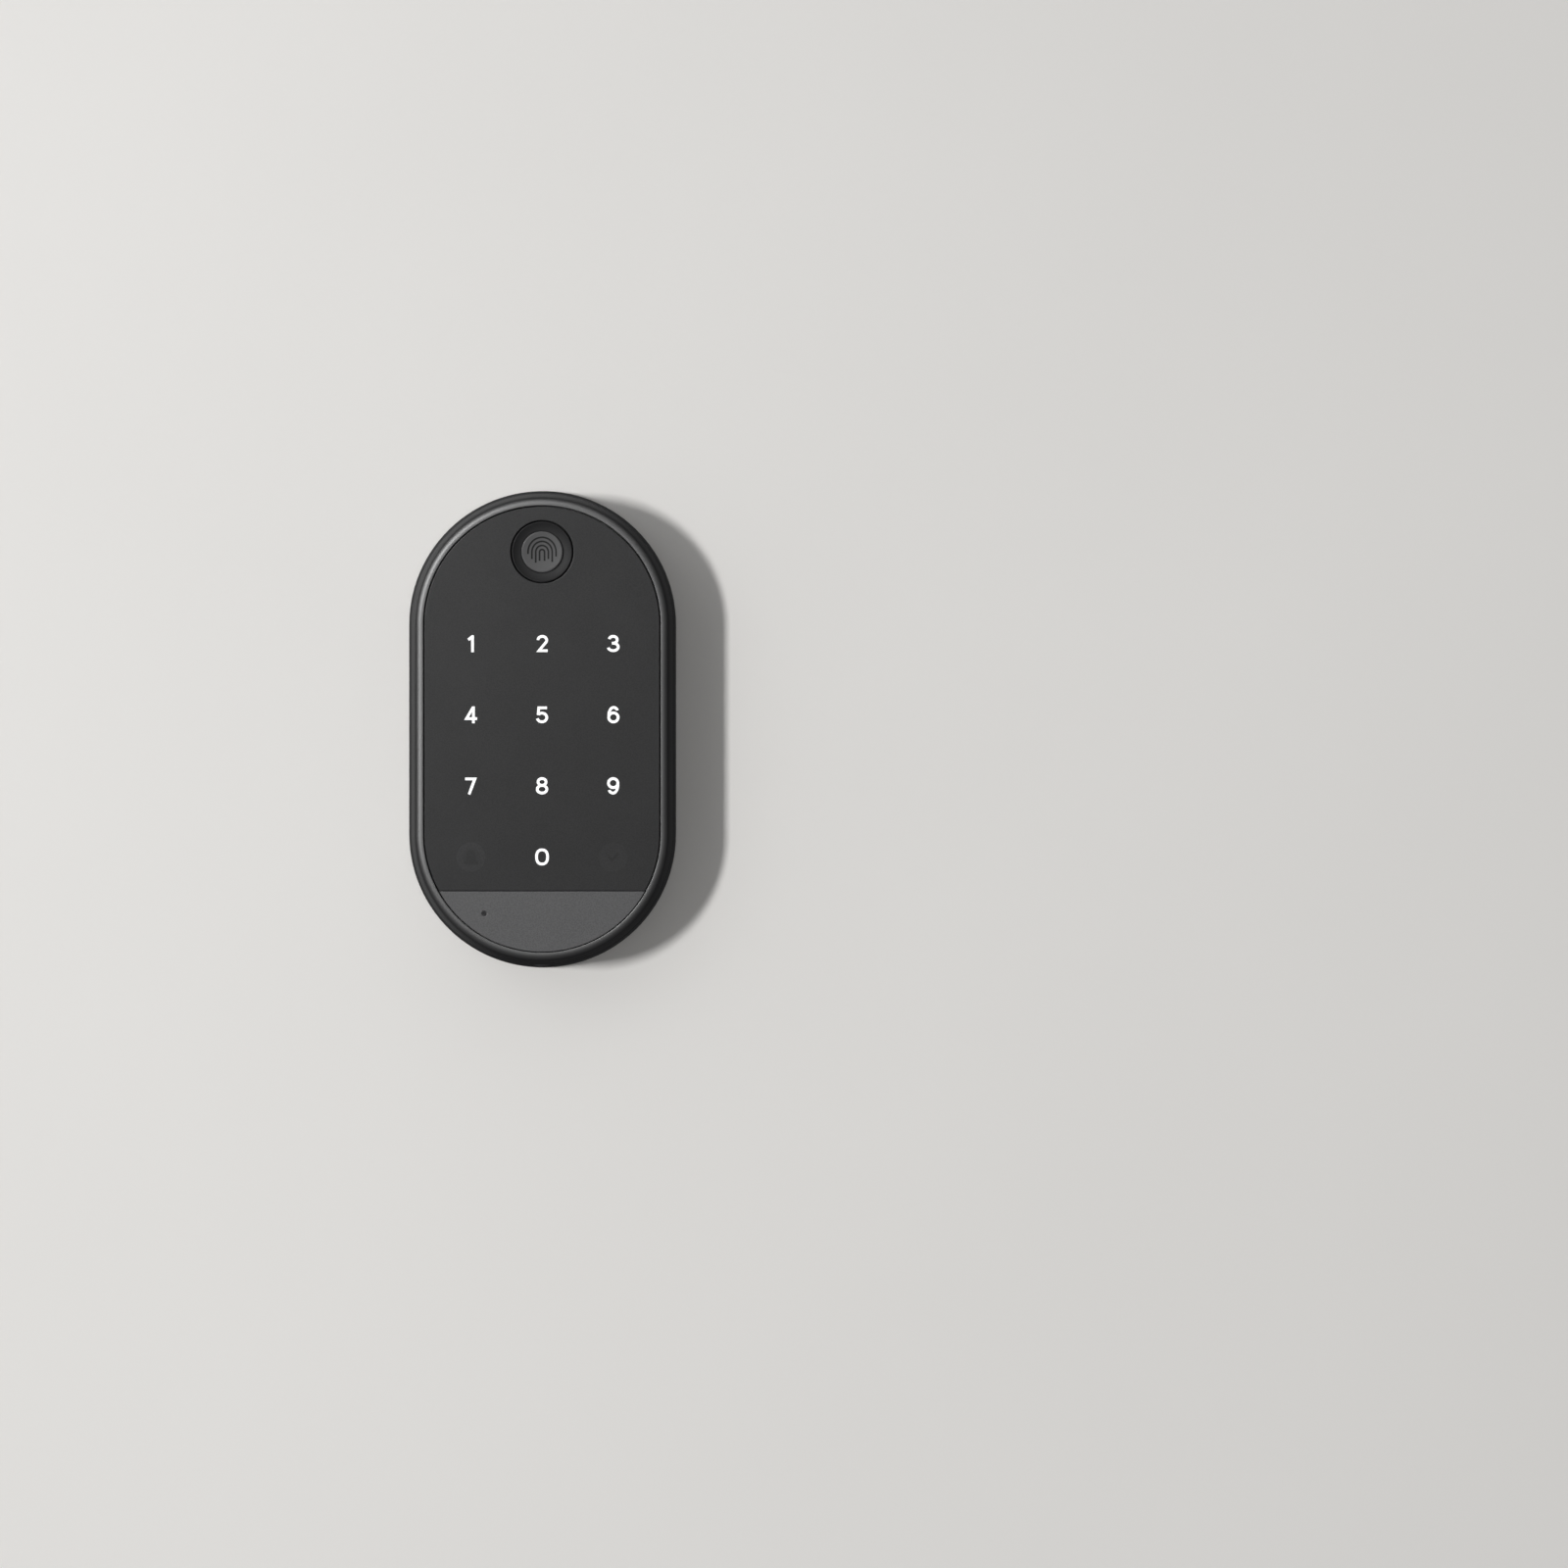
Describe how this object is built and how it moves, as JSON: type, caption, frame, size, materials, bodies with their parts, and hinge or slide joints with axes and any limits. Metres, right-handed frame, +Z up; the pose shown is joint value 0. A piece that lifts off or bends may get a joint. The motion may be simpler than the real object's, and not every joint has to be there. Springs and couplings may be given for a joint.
{
  "type": "wall-mounted door keypad",
  "caption": "Pill-shaped wall keypad with touch digits and a round fingerprint reader, hooked onto a wall plate, that works a battery door lock.",
  "frame": {"origin": "centre of the case's outline, on the wall: the middle of the wall plate's back face", "axes": "+Z up, +Y into the wall, so the keys and the reader face -Y; +X to the right as seen by the user"},
  "size_m": [0.0738, 0.026, 0.1318],
  "materials": {
    "bezel_finish": "satin",
    "housing_plastic": "matte",
    "panel_plastic": "matte",
    "band_plastic": "matte",
    "ring_finish": "satin",
    "disc_finish": "satin",
    "plate_plastic": "matte",
    "seal_rubber": "matte",
    "screw_steel": "satin",
    "circuit_board": "satin",
    "chip_plastic": "matte",
    "shield_steel": "satin",
    "contact_steel": "satin",
    "battery_sleeve": "gloss",
    "white_plastic": "matte",
    "clear_plastic": "gloss",
    "film_plastic": "satin",
    "led_plastic": "gloss",
    "bond_foam": "matte",
    "button_plastic": "matte"
  },
  "bodies": {
    "wall_mount": {"wall_plate": "plate_plastic", "security_screw": "screw_steel"},
    "keypad_unit": {"rear_housing": "housing_plastic", "front_bezel": "bezel_finish", "sound_mesh": "shield_steel", "main_seal": "seal_rubber", "touch_panel": "panel_plastic", "lower_band": "band_plastic", "panel_bond": "bond_foam", "touch_film": "film_plastic", "light_guide": "clear_plastic", "key_baffle": "white_plastic", "key_leds": "led_plastic", "sensor_ring": "ring_finish", "sensor_disc": "disc_finish", "sensor_body": "chip_plastic", "sensor_gasket": "seal_rubber", "sensor_flex": "film_plastic", "main_board": "circuit_board", "radio_module": "shield_steel", "control_chip": "chip_plastic", "flex_socket": "white_plastic", "buzzer": "chip_plastic", "reset_switch": "chip_plastic", "battery_1": "battery_sleeve", "battery_2": "battery_sleeve", "battery_3": "battery_sleeve", "battery_4": "battery_sleeve", "contact_springs": "contact_steel", "contact_plates": "contact_steel", "housing_screws": "screw_steel", "board_screws": "screw_steel"},
    "battery_door": {"battery_cover": "housing_plastic"},
    "reset_plunger": {"reset_button": "button_plastic"}
  },
  "joints": [
    {"name": "unit_lift", "type": "slide", "parent": "wall_mount", "child": "keypad_unit", "axis": [0, 0, 1], "range_m": [0, 0.008]},
    {"name": "battery_cover_slide", "type": "slide", "parent": "keypad_unit", "child": "battery_door", "axis": [0, 0, -1], "range_m": [0, 0.006]},
    {"name": "reset_press", "type": "slide", "parent": "keypad_unit", "child": "reset_plunger", "axis": [0, 1, 0], "range_m": [0, 0.0005], "stiffness_N_per_m": 1500}
  ]
}
